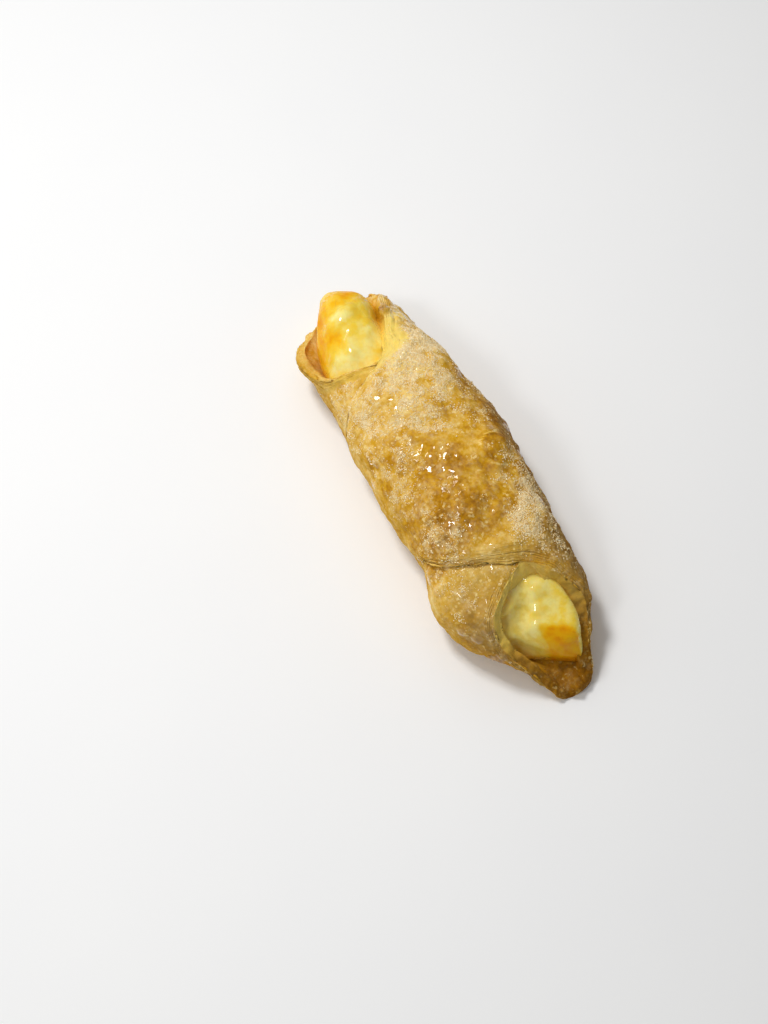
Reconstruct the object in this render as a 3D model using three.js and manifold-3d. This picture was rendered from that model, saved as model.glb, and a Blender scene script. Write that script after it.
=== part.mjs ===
// A quesito: a square of puff pastry with a log of sweet cream cheese laid corner to corner on it.
// The two free corners are folded over the cheese, one on top of the other, and the roll is baked,
// so each end is a boat of pastry with the cheese showing in the V between the two folded edges.
// Millimetres, +Z up. The roll lies along X on the plane Z = 0, with the origin under its middle.
import * as THREE from "three";
import { ParametricGeometry } from "three/addons/geometries/ParametricGeometry.js";
import { mergeVertices } from "three/addons/utils/BufferGeometryUtils.js";
import Module from "manifold-3d";

// Driving dimensions of the roll.
const LENGTH = 156;
const WIDTH = 46;
const HEIGHT = 37;

// The pastry sheet.
const SHEET = 5; // puffed thickness of the sheet at the open ends
const RIM = 3; // thickness at the lower flap's cut edge
const PRESS = 1.6; // how far the round underside is pressed flat by the tray
const CENTRE_SHARE = 0.46; // height of the widest level, as a share of the crown
const SQUARENESS = 2.25; // exponent of the section: 2 is an ellipse
const SCOOP = 13; // length over which an end opens from the V down to the full depth
const GAP = 0.3; // clearance between pastry and cheese

// The top flap, with angles in degrees from the underside.
const FLAP = 3.2; // what it adds to the height of the roll
const FLAP_FROM = 105; // angle at which it starts to stand off the lower flap
const FLAP_TO = 165; // angle from which it has its full thickness
const FLAP_FADE = 16; // length past the V over which it comes down to the lower flap
const TUCK_FROM = 205; // angle at which it starts to thin towards its tucked tip
const TUCK_TO = 285;
const TUCK_THINNING = 0.4; // share of its thickness lost there
const EDGE_THINNING = 0.45; // share of its thickness lost at its cut edge
const EDGE_SLOPE = 12; // strip beside the edge over which it thins

// Flaky terraces beside the cut edges.
const TERRACES = [1.6, 3.5]; // distances from the edge
const TERRACE_DROP = 0.6;
const TERRACE_SLOPE = 0.8; // width of the slope between two terraces
const TERRACE_FADE = 6; // length past the V over which they start on the lower flap

// Outward curl of the lower flap's edge at the far end.
const LIP_CURL = 2.8;
const LIP_WIDTH = 10;
const LIP_PLACES = [-0.92, -0.76, -0.62, -0.45]; // rises over the first two, fades over the last two

// Slow waves of the hand-rolled, puffed sheet.
const WAVES = [
  { height: 0.55, along: 0.085, round: 2, phase: 0.6 },
  { height: 0.4, along: 0.19, round: -3, phase: 2.1 },
  { height: 0.3, along: 0.31, round: 5, phase: 4 },
];
const CALM_ENDS = 12; // length at each tip over which waves and terraces fade out

// Where the folded edges cross over the cheese, as shares of the half length, and their angles there.
const FAR_V = -0.47;
const NEAR_V = 0.55;
const FAR_V_ANGLE = 188;
const NEAR_V_ANGLE = 174;

// The cheese log.
const CHEESE_FAR = -0.94; // its rounded end, as a share of the half length
const CHEESE_NEAR = 0.845; // its blunt end
const FAR_ROUNDING = 4; // exponent of the rounded end
const NEAR_ROUNDING = 12; // exponent of the blunt end
const RIDGE_FROM = 0.45; // level from which it narrows to a ridge, from -1 at its base to 1 at its top
const FLANK = 0.5; // exponent of the ridge's flanks: 1 is straight, less is hollow
const LEAN = 0.5; // backward slope of the blunt end
const SKEW = 0.7; // its slope from one side to the other
const LEAN_FROM = 0.55; // place where both slopes start
const FAR_SKEW = 0.6; // sideways slope of the rounded end
const FAR_SKEW_FROM = 0.5; // distances from the middle over which it sets in, as shares of the half length
const FAR_SKEW_TO = 0.75;

// Steps round each station: beside the lower edge, up to the still steps, the still steps, from them, and
// beside the top edge. The still steps keep their angles from one station to the next.
const WRAP_STEPS = [4, 9, 20, 11, 5];
const STILL_FROM = -40;
const STILL_TO = 170;
const EDGE_SHARE = 0.85; // the still steps end at this share of an edge's angle, where that comes first
const EDGE_BAND = 5; // strip beside a cut edge with close steps
const MOUTH_STEPS = 12;
const RIM_STEPS = 2;
const ROLL_STEPS = 68;
const CHEESE_STEPS_ROUND = 26;
const CHEESE_STEPS_ALONG = 46;
const CLOSING = 0.45; // how strongly the stations close up towards the two tips

const HALF = LENGTH / 2;
const RADIUS = WIDTH / 2;
const DEGREE = Math.PI / 180;
const { clamp, lerp, smoothstep } = THREE.MathUtils;

// A smooth curve through a few [place, value] points, level beyond its ends.
function through(...points) {
  const slope = (i) => (points[i + 1][1] - points[i][1]) / (points[i + 1][0] - points[i][0]);
  const last = points.length - 1;
  const tangents = points.map((_, i) => {
    if (i === 0) return slope(0);
    if (i === last) return slope(last - 1);
    return (slope(i - 1) + slope(i)) / 2;
  });
  return (place) => {
    const p = clamp(place, points[0][0], points[last][0]);
    const i = clamp(points.findIndex(([at]) => at >= p) - 1, 0, last - 1);
    const step = points[i + 1][0] - points[i][0];
    const t = (p - points[i][0]) / step;
    return (
      points[i][1] * (1 + 2 * t) * (1 - t) ** 2 +
      tangents[i] * step * t * (1 - t) ** 2 +
      points[i + 1][1] * t * t * (3 - 2 * t) -
      tangents[i + 1] * step * t * t * (1 - t)
    );
  };
}

// Outline of the roll. Places are shares of the half length. Values are shares of the half width, shares
// of the height under the top flap, and the millimetres by which the middle line drifts to one side.
const sideShare = through(
  [-1, 0.3], [-0.95, 0.48], [-0.87, 0.7], [-0.76, 0.81], [-0.55, 0.85], [-0.3, 0.91], [0.05, 1],
  [0.27, 0.95], [0.5, 0.98], [0.62, 0.92], [0.72, 0.79], [0.83, 0.55], [0.94, 0.35], [1, 0.28],
);
const crownShare = through(
  [-1, 0.5], [-0.9, 0.74], [-0.75, 0.87], [-0.5, 0.95], [-0.1, 1], [0.3, 0.97], [0.55, 0.88],
  [0.7, 0.8], [0.85, 0.66], [1, 0.42],
);
const drift = through(
  [-1, -0.4], [-0.8, -0.6], [-0.5, -0.2], [-0.2, 1], [0, 0.8], [0.2, -0.8], [0.4, -3.4], [0.54, -4.6],
  [0.64, -3.6], [0.74, -2.2], [0.86, -1.9], [1, -1.4],
);

// Angle from the underside to each cut edge of the sheet, in degrees: 90 is the side, 180 the top.
const topEdge = through(
  [-1, 0], [-0.98, 56], [-0.93, 98], [-0.86, 126], [-0.76, 147], [-0.62, 164], [FAR_V, FAR_V_ANGLE],
  [-0.42, 218], [-0.34, 260], [-0.22, 292], [-0.08, 306], [0.1, 296], [0.28, 266], [0.42, 221],
  [NEAR_V, NEAR_V_ANGLE], [0.64, 149], [0.71, 131], [0.8, 110], [0.88, 94], [0.95, 70], [0.985, 46], [1, 0],
);
const lowerFarEdge = through(
  [-1, 0], [-0.985, 40], [-0.9, 76], [-0.79, 94], [-0.66, 105], [-0.55, 124], [FAR_V, 360 - FAR_V_ANGLE],
);
const lowerNearEdge = through(
  [NEAR_V, 360 - NEAR_V_ANGLE], [0.62, 160], [0.68, 137], [0.757, 112], [0.85, 92],
  [0.94, 69], [0.985, 45], [1, 0],
);

// Thickness at the top flap's cut edge.
const topRim = through(
  [-1, 3], [-0.94, 6.5], [-0.84, 9], [-0.5, 5.5], [0.5, 5.5], [0.62, 8], [0.72, 9], [0.82, 7.5],
  [0.92, 5], [1, 3],
);

// Outline of the cheese. Places as above; heights are shares of HEIGHT and half widths of WIDTH. The height
// of its widest level is a share of its own height, and its shift is in millimetres off the middle line.
const cheeseTop = through(
  [CHEESE_FAR, 0.74], [-0.76, 0.83], [-0.6, 0.78], [-0.45, 0.66], [0.3, 0.66], [0.6, 0.66],
  [0.8, 0.54], [CHEESE_NEAR, 0.52],
);
const cheeseBase = through([CHEESE_FAR, 0.2], [-0.7, 0.15], [-0.4, 0.17], [0.3, 0.17], [CHEESE_NEAR, 0.14]);
const cheeseMiddle = through([0.3, 0.45], [0.65, 0.55], [CHEESE_NEAR, 0.45]);
const cheeseHalfWidth = through(
  [CHEESE_FAR, 0.18], [-0.8, 0.19], [-0.7, 0.215], [-0.6, 0.24], [-0.4, 0.26],
  [0.3, 0.25], [0.62, 0.29], [0.72, 0.26], [CHEESE_NEAR, 0.18],
);
const cheeseShift = through(
  [CHEESE_FAR, 2.6], [-0.87, 2], [-0.8, 0], [-0.7, -3], [-0.6, -4.6], [-0.4, -3], [0, 0],
  [0.3, 0], [0.62, -3.2], [0.8, -1.8], [CHEESE_NEAR, -1.6],
);

// The cheese's top: how much narrower than its widest level, and how far off to one side.
const cheeseRidge = through([-0.6, 0.1], [0.2, 0], [0.55, 0.6], [0.7, 0.5], [CHEESE_NEAR, 0.33]);
const ridgeShift = through([0.1, 0], [0.5, 8], [0.62, 8.4], [0.72, 6.6], [CHEESE_NEAR, 3.6]);
const cheeseSquareness = through([-0.5, 2.7], [0.5, 3.2], [CHEESE_NEAR, 5.5]);

// A power that keeps the sign, for rounded-square sections.
const rounded = (value, squareness) => Math.sign(value) * Math.abs(value) ** (2 / squareness);

// Point of the sheet at a station, an angle from the underside and a height above its plain outer face.
function sheetPoint(x, angle, height) {
  const place = x / HALF;
  const crown = crownShare(place) * (HEIGHT - FLAP);
  const centre = CENTRE_SHARE * crown;
  const rise = Math.cos(angle) > 0 ? centre + PRESS : crown - centre;
  const half = sideShare(place) * RADIUS;
  const y = drift(place) + (half + height) * rounded(Math.sin(angle), SQUARENESS);
  const z = centre - (rise + height) * rounded(Math.cos(angle), SQUARENESS);
  return new THREE.Vector3(x, y, Math.max(z, -height, 0));
}

// How far a station lies outside the V, towards its end of the roll.
const pastV = (x) => Math.max(x - NEAR_V * HALF, FAR_V * HALF - x, 0);

// Angles of the two cut edges. Between the two Vs the lower one is hidden, and the sheet starts where
// the top flap's edge lies on it.
function edgeAngles(x) {
  const place = x / HALF;
  const end = topEdge(place) * DEGREE;
  if (place < FAR_V) return [-lowerFarEdge(place) * DEGREE, end];
  if (place > NEAR_V) return [-lowerNearEdge(place) * DEGREE, end];
  return [end - 2 * Math.PI, end];
}

// Thickness that the top flap adds.
function flapHeight(x, angle, end) {
  const root = smoothstep(angle, FLAP_FROM * DEGREE, FLAP_TO * DEGREE);
  const tuck = smoothstep(angle, TUCK_FROM * DEGREE, TUCK_TO * DEGREE);
  const edge = 1 - smoothstep((end - angle) * RADIUS, 0, EDGE_SLOPE);
  const thickness = FLAP * root * (1 - TUCK_THINNING * tuck) * (1 - EDGE_THINNING * edge);
  return thickness * (1 - smoothstep(pastV(x), 0, FLAP_FADE));
}

// Outward curl beside the lower flap's edge.
function lipCurl(x, angle, start) {
  const [from, full, fade, gone] = LIP_PLACES.map((place) => place * HALF);
  const along = smoothstep(x, from, full) * (1 - smoothstep(x, fade, gone));
  return LIP_CURL * along * (1 - smoothstep((angle - start) * RADIUS, 0, LIP_WIDTH));
}

// Height of the sheet's outer face over its plain shape: flap, curl, flaky terraces and slow waves.
function relief(x, angle, start, end) {
  let uneven = 0;
  const open = smoothstep(pastV(x), 0, TERRACE_FADE);
  for (const place of TERRACES) {
    const toLower = smoothstep((angle - start) * RADIUS, place - TERRACE_SLOPE, place);
    const toTop = smoothstep((end - angle) * RADIUS, place - TERRACE_SLOPE, place);
    uneven -= TERRACE_DROP * (open * (1 - toLower) + 1 - toTop);
  }
  for (const { height, along, round, phase } of WAVES) {
    uneven += height * Math.sin(along * x + round * angle + phase);
  }
  const calm = smoothstep(HALF - Math.abs(x), 0, CALM_ENDS);
  return flapHeight(x, angle, end) + lipCurl(x, angle, start) + calm * uneven;
}

// Angle of the outer face at a step on the way round from the lower edge to the top one.
function wrapAngle(step, start, end) {
  const low = Math.max(STILL_FROM * DEGREE, EDGE_SHARE * start);
  const high = Math.min(STILL_TO * DEGREE, EDGE_SHARE * end);
  const lowBand = Math.min(EDGE_BAND / RADIUS, (low - start) / 2);
  const highBand = Math.min(EDGE_BAND / RADIUS, (end - high) / 2);
  const stops = [start, start + lowBand, low, high, end - highBand, end];
  let left = step;
  let zone = 0;
  while (left > WRAP_STEPS[zone]) {
    left -= WRAP_STEPS[zone];
    zone += 1;
  }
  return lerp(stops[zone], stops[zone + 1], left / WRAP_STEPS[zone]);
}

// The way back from the top flap's edge to the other edge: down the cut edge and along the inside of
// the sheet where an end is open, or straight down the flap's own edge between the two Vs.
function mouthPoint(x, step, start, end) {
  const inside = clamp((step - RIM_STEPS) / (MOUTH_STEPS - 2 * RIM_STEPS), 0, 1);
  const rim = clamp(Math.min(step, MOUTH_STEPS - step) / RIM_STEPS, 0, 1);
  const rimDepth = lerp(topRim(x / HALF), RIM, step / MOUTH_STEPS);
  const depth = rimDepth * rim + (SHEET - rimDepth) * Math.sin(Math.PI * inside);
  const angle = lerp(end, start, inside);
  const trough = sheetPoint(x, angle, lipCurl(x, angle, start) - depth);
  const top = sheetPoint(x, end, relief(x, end, start, end));
  const foot = sheetPoint(x, start, relief(x, start, start, end));
  const across = top.lerp(foot, step / MOUTH_STEPS);
  return across.lerp(trough, smoothstep(pastV(x), 0, SCOOP));
}

// Stations close up a little towards the two tips.
const station = (v) => lerp(2 * v - 1, -Math.cos(Math.PI * v), CLOSING);

const OUTER_STEPS = WRAP_STEPS.reduce((sum, steps) => sum + steps);
const ROUND_STEPS = OUTER_STEPS + MOUTH_STEPS;

// Surface of the roll before the cheese's channel is cut: u goes round, v from the far tip to the near one.
function rollSurface(u, v, target) {
  const place = station(v);
  const x = place * HALF;
  if (v === 0 || v === 1) return target.set(x, drift(place), RIM / 2);
  const [start, end] = edgeAngles(x);
  const step = Math.round(u * ROUND_STEPS) % ROUND_STEPS;
  if (step > OUTER_STEPS) return target.copy(mouthPoint(x, step - OUTER_STEPS, start, end));
  const angle = wrapAngle(step, start, end);
  return target.copy(sheetPoint(x, angle, relief(x, angle, start, end)));
}

// Surface of the cheese log, or of the channel that clears it.
function cheeseSurface(clearance) {
  const far = CHEESE_FAR * HALF - clearance;
  const near = CHEESE_NEAR * HALF + clearance;
  return (u, v, target) => {
    const x = lerp(far, near, (station(v) + 1) / 2);
    const place = x / HALF;
    const angle = 2 * Math.PI * (u % 1);
    const fromMiddle = x < 0 ? x / far : x / near;
    const rounding = x < 0 ? FAR_ROUNDING : NEAR_ROUNDING;
    const taper = (1 - fromMiddle ** (4 * rounding)) ** (1 / rounding);
    const top = cheeseTop(place) * HEIGHT;
    const base = cheeseBase(place) * HEIGHT;
    const middle = lerp(base, top, cheeseMiddle(place));
    const height = Math.cos(angle) > 0 ? middle - base : top - middle;
    const squareness = cheeseSquareness(place);
    const level = -rounded(Math.cos(angle), squareness);
    const upper = clamp((level - RIDGE_FROM) / (1 - RIDGE_FROM), 0, 1) ** FLANK;
    const half = cheeseHalfWidth(place) * WIDTH * (1 - cheeseRidge(place) * upper);
    const across = rounded(Math.sin(angle), squareness);
    const aside = taper * (upper * ridgeShift(place) + half * across);
    const rise = taper * height * level;
    const fromRidge = aside - taper * ridgeShift(place);
    const nearSlope = smoothstep(place, LEAN_FROM, CHEESE_NEAR) * (SKEW * fromRidge - LEAN * rise);
    const farSlope = smoothstep(-place, FAR_SKEW_FROM, FAR_SKEW_TO) * FAR_SKEW * aside;
    const y = drift(place) + cheeseShift(place) + aside + taper * clearance * across;
    const z = middle + rise + taper * clearance * Math.cbrt(level);
    return target.set(x + nearSlope + farSlope, y, z);
  };
}

const wasm = await Module();
wasm.setup();

// A closed solid from a surface that is closed round u and meets in a point at both ends of v.
// Each four-cornered cell is split along its shorter diagonal.
function solidFrom(surface, round, along) {
  const grid = new ParametricGeometry(surface, round, along);
  grid.deleteAttribute("normal");
  grid.deleteAttribute("uv");
  const { index, attributes } = mergeVertices(grid);
  const corner = (i) => new THREE.Vector3().fromBufferAttribute(attributes.position, i);
  const triVerts = [];
  const addTriangle = (...corners) => {
    if (new Set(corners).size === 3) triVerts.push(...corners);
  };
  for (let i = 0; i < index.count; i += 6) {
    const [a, b, d, , c] = index.array.subarray(i, i + 6);
    const alongAC = corner(a).distanceTo(corner(c)) < corner(b).distanceTo(corner(d));
    addTriangle(a, b, alongAC ? c : d);
    addTriangle(alongAC ? a : b, c, d);
  }
  const mesh = new wasm.Mesh({
    numProp: 3,
    vertProperties: attributes.position.array,
    triVerts: new Uint32Array(triVerts),
  });
  return new wasm.Manifold(mesh);
}

// A three.js geometry from a solid.
function geometryFrom(solid) {
  const { vertProperties, triVerts } = solid.getMesh();
  const geometry = new THREE.BufferGeometry();
  geometry.setAttribute("position", new THREE.BufferAttribute(vertProperties, 3));
  geometry.setIndex(new THREE.BufferAttribute(triVerts, 1));
  geometry.computeVertexNormals();
  return geometry;
}

const roll = solidFrom(rollSurface, ROUND_STEPS, ROLL_STEPS);
const channel = solidFrom(cheeseSurface(GAP), CHEESE_STEPS_ROUND, CHEESE_STEPS_ALONG);
const cheese = solidFrom(cheeseSurface(0), CHEESE_STEPS_ROUND, CHEESE_STEPS_ALONG);

const pastryMaterial = new THREE.MeshStandardMaterial({ color: 0xc89a55, roughness: 0.45, metalness: 0 });
const cheeseMaterial = new THREE.MeshStandardMaterial({ color: 0xf0cc66, roughness: 0.35, metalness: 0 });

const pastryMesh = new THREE.Mesh(geometryFrom(roll.subtract(channel)), pastryMaterial);
pastryMesh.name = "pastry";
const cheeseMesh = new THREE.Mesh(geometryFrom(cheese), cheeseMaterial);
cheeseMesh.name = "cheese_filling";

const quesito = new THREE.Group();
quesito.add(pastryMesh, cheeseMesh);

// The drift of the middle line leaves the roll off centre, so it is set back over the origin.
const middle = new THREE.Box3().setFromObject(quesito).getCenter(new THREE.Vector3());
for (const mesh of quesito.children) mesh.geometry.translate(-middle.x, -middle.y, 0);

export default quesito;
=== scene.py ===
"""A baked quesito: flaky puff pastry folded over cream cheese, partly glazed and sprinkled with sugar.

Shapes are worked out in millimetres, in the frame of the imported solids, and turned to metres at the end.
The roll lies along X: the far end of the photograph is -X, its right side +Y, and Z is up.
"""

import math

import bpy
import numpy as np
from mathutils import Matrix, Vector, noise


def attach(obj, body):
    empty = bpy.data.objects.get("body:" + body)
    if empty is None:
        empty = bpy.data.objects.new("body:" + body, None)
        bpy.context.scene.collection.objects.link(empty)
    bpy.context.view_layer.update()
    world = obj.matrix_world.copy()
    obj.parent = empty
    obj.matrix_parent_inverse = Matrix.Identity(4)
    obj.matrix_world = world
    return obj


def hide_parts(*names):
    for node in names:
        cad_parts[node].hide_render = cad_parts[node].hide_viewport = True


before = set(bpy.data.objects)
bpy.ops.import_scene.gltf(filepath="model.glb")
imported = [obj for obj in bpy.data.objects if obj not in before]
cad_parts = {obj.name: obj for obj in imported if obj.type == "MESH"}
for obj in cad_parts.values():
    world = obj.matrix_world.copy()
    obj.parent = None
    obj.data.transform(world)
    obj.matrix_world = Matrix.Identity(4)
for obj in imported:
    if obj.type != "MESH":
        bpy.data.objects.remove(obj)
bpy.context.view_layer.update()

MILLIMETRE = 0.001

# The roll and its sheet, as in the solids.
LENGTH = 156
WIDTH = 46
HEIGHT = 37
HALF = LENGTH / 2
RADIUS = WIDTH / 2
SHEET = 5
RIM = 3
PRESS = 1.6
CENTRE_SHARE = 0.46
SQUARENESS = 2.25
SCOOP = 13

# The top flap, with angles in degrees from the underside.
FLAP = 3.2
FLAP_FROM = 105
FLAP_TO = 165
FLAP_FADE = 16
TUCK_FROM = 205
TUCK_TO = 285
TUCK_THINNING = 0.4
EDGE_THINNING = 0.45
EDGE_SLOPE = 12

# Curl of the lower flap's edge at the far end.
LIP_CURL = 2.8
LIP_WIDTH = 10
LIP_PLACES = (-0.92, -0.76, -0.62, -0.45)

# Slow waves of the sheet: height, radians per millimetre along X, turns round the roll and phase.
WAVES = (
    (0.55, 0.085, 2, 0.6),
    (0.4, 0.19, -3, 2.1),
    (0.3, 0.31, 5, 4.0),
)
CALM_ENDS = 12

# Where the folded edges cross over the cheese.
FAR_V = -0.47
NEAR_V = 0.55
FAR_V_ANGLE = 188
NEAR_V_ANGLE = 174

# The cheese log.
CHEESE_FAR = -0.94
CHEESE_NEAR = 0.845
FAR_ROUNDING = 4
NEAR_ROUNDING = 12
END_POWER = 4
RIDGE_FROM = 0.45
FLANK = 0.5
LEAN = 0.5
SKEW = 0.7
LEAN_FROM = 0.55
FAR_SKEW = 0.6
FAR_SKEW_FROM = 0.5
FAR_SKEW_TO = 0.75

# Steps of the fine meshes.
WRAP_STEPS = (24, 40, 100, 56, 26)
STILL_FROM = -40
STILL_TO = 170
EDGE_SHARE = 0.85
EDGE_BAND = 5
MOUTH_STEPS = 60
RIM_STEPS = 10
ROLL_STEPS = 320
CHEESE_STEPS_ROUND = 110
CHEESE_STEPS_ALONG = 220
CLOSING = 0.45

# Noises below are rows of size in millimetres, share and seed. Stretches scale the points first.
# Ranges are where something starts and where it is full.
NOISE_STEP = 31.7
TINY = 1e-9

# Flaky layers that show beside the cut edges, which have numbers.
LOWER_EDGE = 0
TOP_EDGE = 1
NEAR_EDGE = 2
FAR_EDGE = 3
LAYER_PLACES = (0.9, 2.0, 3.2, 4.5)
LAYER_DROP = 0.32
LAYER_SLOPE = 0.3
LAYER_WANDER = 0.55
LAYER_WANDER_SIZE = 9
LAYER_GAP_SIZE = 18
LAYER_GAP_SEED = 5
LAYER_GAPS = (-0.5, 0.1)
LAYER_LINES_APART = 40.0
LAYER_EDGES_APART = 90.0
LAYER_FADE = 6
RIM_LAYER = 1.1
RIM_LAYER_DEPTH = 0.14
RIM_SWELLS = ((5, 0.6, 10),)
EDGE_WOBBLE = 0.9
EDGE_WOBBLE_SIZE = 6
EDGE_WOBBLE_SEED = 7
EDGE_WOBBLES_APART = 60.0
EDGE_LINE = 0.95
EDGE_LINE_DEPTH = 0.06
EDGE_LINE_TOAST_AND_SHADE = 0.16
EDGE_LINE_REACH = (3.5, 7)
EDGE_LINE_WANDER = 0.6
EDGE_LINES_END = (-2, 2)
EDGE_HIDDEN = 9
WANDER = ((5, 2, 11),)
WANDER_STRETCH = (0.3, 1, 1)

# Blisters: X, Y, radius and height of the large ones, and the range of the small ones.
BLISTERS = (
    (6, 14.5, 6.5, 0.6),
    (-56, 9.5, 3, 1.2),
    (-12, 4, 5, 0.5),
    (22, -4, 6, 0.5),
    (-24, -9, 5, 0.4),
    (34, 8, 5, 0.4),
)
SMALL_BLISTERS = 120
SMALL_BLISTER_RADIUS = (1.2, 3.6)
SMALL_BLISTER_HEIGHT = (0.1, 0.4)
BLISTER_SLOPE = 0.55

# The film of glaze, its raised edge as X, Y, radius and height, and its drops.
FILM_WAVES = ((8, 1, 52),)
FILM_STRETCH = (0.7, 1, 1)
FILM_DETAIL = ((3, 0.4, 53),)
FILM_RAGGED = 0.6
FILM_FROM = (0.55, 0.75)
FILM_SMOOTHING = 0.5
FILM_EDGE = (10, 13, 6, 0.45)
FILM_EDGE_SHARPNESS = 0.15
FILM_EDGE_TOAST = 0.15
FILM_EDGE_HIGHLIGHT = 0.5
GLAZE_DROPS = 200
GLAZE_DROP_RADIUS = (0.7, 2.4)
GLAZE_DROP_STEEPNESS = (0.1, 0.24)
GLAZE_DROP_SHINE = (0, 0.06)

# Unevenness of the crust, which fades out at its foot.
FOOT = (0.3, 3)
SWELLS = ((9, 0.7, 0),)
PEBBLES = ((3.4, 0.42, 1), (1.4, 0.2, 2))
FLAKES = ((11, 3, 13),)
FLAKE_STRETCH = (0.55, 1, 1)
FLAKE_STEP = 0.25
FLAKE_SLOPE = (0.75, 1)
CRAGS = ((1.7, 0.35, 9),)
ROUGH_END = (60, 72)

# How far a face has to look up to count as top or upward.
TOP_FACING = 0.2
UPWARD = (-0.3, 0.4)

# Browning, with painted shade and light in some patches, from 0 pale to 1 dark. Patches are X, Y, reach
# along X, reach along Y and strength.
TOAST_BASE = 0.42
TOAST_CLOUDS = ((14, 0.16, 34), (5, 0.22, 25), (2, 0.14, 22))
DOME_TOAST = 0.22
UNDERSIDE = (2, 14)
UNDERSIDE_TOAST = 0.25
UNDERSIDE_DOUGH = 0.8
EDGE_TOAST = -0.06
INNER_TOAST = 0.3
INNER_CLOUDS = 0.5
# Many of these patches are painted shade: they darken the near half, most of all its right side, the right
# lip, the tongue and the lower near panel. The paler ones on the far top and on the flap band by the near
# V are painted light.
TOAST_AND_PAINTED_LIGHT_PATCHES = (
    (6, 0, 26, 14, 0.14),
    (24, -5, 14, 14, 0.2),
    (22, -14, 18, 9, 0.24),
    (-10, -16, 16, 7, 0.1),
    (-25, 3, 3, 2, 0.2),
    (-40, 6, 18, 14, -0.3),
    (-30, -14, 20, 7, -0.14),
    (54, -20, 12, 8, 0.4),
    (36, -8, 4, 16, -0.42),
    (62, -20, 8, 10, 0.35),
    (75, 0, 8, 12, 0.65),
    (60, 16, 12, 7, 0.5),
    (6, 24, 40, 7, 0.6),
    (50, 22, 20, 8, 0.4),
    (44, 16, 12, 7, 0.4),
    (-57, 10, 4, 3.5, 0.5),
    (51, 14, 6, 5, -0.35),
    (66, -14, 8, 6, 0.45),
    (44, 6, 5, 5, 0.25),
    (-60, -20, 12, 6, 0.25),
    (-40, -10, 7, 8, 0.28),
)
# The inner patches at the near tip and the near lips are painted shade; the far ones are browning.
INNER_TOAST_AND_SHADE_PATCHES = (
    (-56, -20.5, 9, 2, 0.5),
    (-57, 9, 6, 4, 0.5),
    (74, 2, 9, 12, 0.9),
    (58, 12, 12, 6, 0.6),
    (66, -13, 8, 6, 0.6),
)
DOUGH_PATCHES = (
    (54, -14, 14, 14, 0.7),
    (43, -18, 6, 6, 0.2),
    (40, 0, 4, 22, 0.6),
    (60, 14, 10, 8, 0.4),
    (51, 15, 6, 5, 0.4),
    (-56, -18, 10, 7, 0.35),
)
DOUGH_CALM = 0.6

# Cheese that has moistened the pastry: the far arm, the near lip and the far end's front lip.
RAGGED = ((5, 3, 44),)
FAR_ARM_START = (30, 40)
FAR_ARM_END = (50, 57)
FAR_ARM_DEPTH = (0.3, 0.5)
FAR_ARM_REACH = (3, 10)
NEAR_LIP_START = (40, 46)
NEAR_LIP_END = (54, 64)
NEAR_LIP_DEPTH = (0.15, 0.5)
NEAR_LIP_TOP = 0.4
NEAR_LIP_MOIST = 0.95
FRONT_LIP_SIDE = (-20, -15)
FRONT_LIP_REACH = (5, 11)
FRONT_LIP_MOIST = 0.6
DRY_PATCHES = (
    (-57, 10, 4.5, 3.5, 0.9),
)

# Sugar and glaze on the crust.
SUGAR_PATCHES = (
    (-34, -15, 20, 9, 0.22),
    (-8, -15, 16, 8, 0.12),
    (-36, 10, 16, 10, 0.55),
    (-40, 13, 7, 6, 0.45),
    (-20, 2, 14, 10, 0.35),
    (-8, -1, 6, 5, 0.35),
    (26, -15, 7, 6, 0.2),
    (35, 10, 8, 6, 0.6),
    (22, 15, 10, 4, 0.3),
    (12, -14, 6, 4, 0.1),
    (42, -19, 8, 8, 0.1),
    (74, 0, 7, 12, 0.2),
)
SUGAR_FILM = 0.18
SUGAR_CLOUDS = ((8, 0.8, 40), (3, 0.9, 41))
BARE_LIP_START = (28, 38)
MOUTH_SUGAR = 0.15
FILM_BARE = 0.75
CLUMPS = ((4.5, 1, 42), (1.5, 1, 43))
CLUMP_RANGE = (-0.5, 0.7)
BETWEEN_CLUMPS = 0.2
STREWN_FROM = (0.17, 1.0)
DOUGH_BARE = 0.7
GLAZE_PATCHES = (
    (2, 0, 28, 14, 0.9),
    (-7, -1, 6, 5, -0.4),
    (46, -18, 16, 10, 0.5),
    (-50, 14, 14, 10, 0.5),
    (-56, 9.5, 3, 3, 1.0),
)
GLAZE_CLOUDS = ((6, 1, 50), (2.5, 0.5, 51))
GLAZE_SHARE = 0.3
GLAZE_UNEVEN = 0.15
SUGAR_DULLS = 0.6

# Sugar grains: cubes with uneven sides.
SUGAR_GRAINS = 15000
SUGAR_SIZE = (0.12, 0.34)
SUGAR_SIDES = (0.75, 1.2)
SUGAR_RISE = 0.05
CUBE_ENDS = (-0.5, 0.5)
CUBE_SIDES = ((0, 1, 3, 2), (4, 6, 7, 5), (0, 4, 5, 1), (2, 3, 7, 6), (0, 2, 6, 4), (1, 5, 7, 3))
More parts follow.
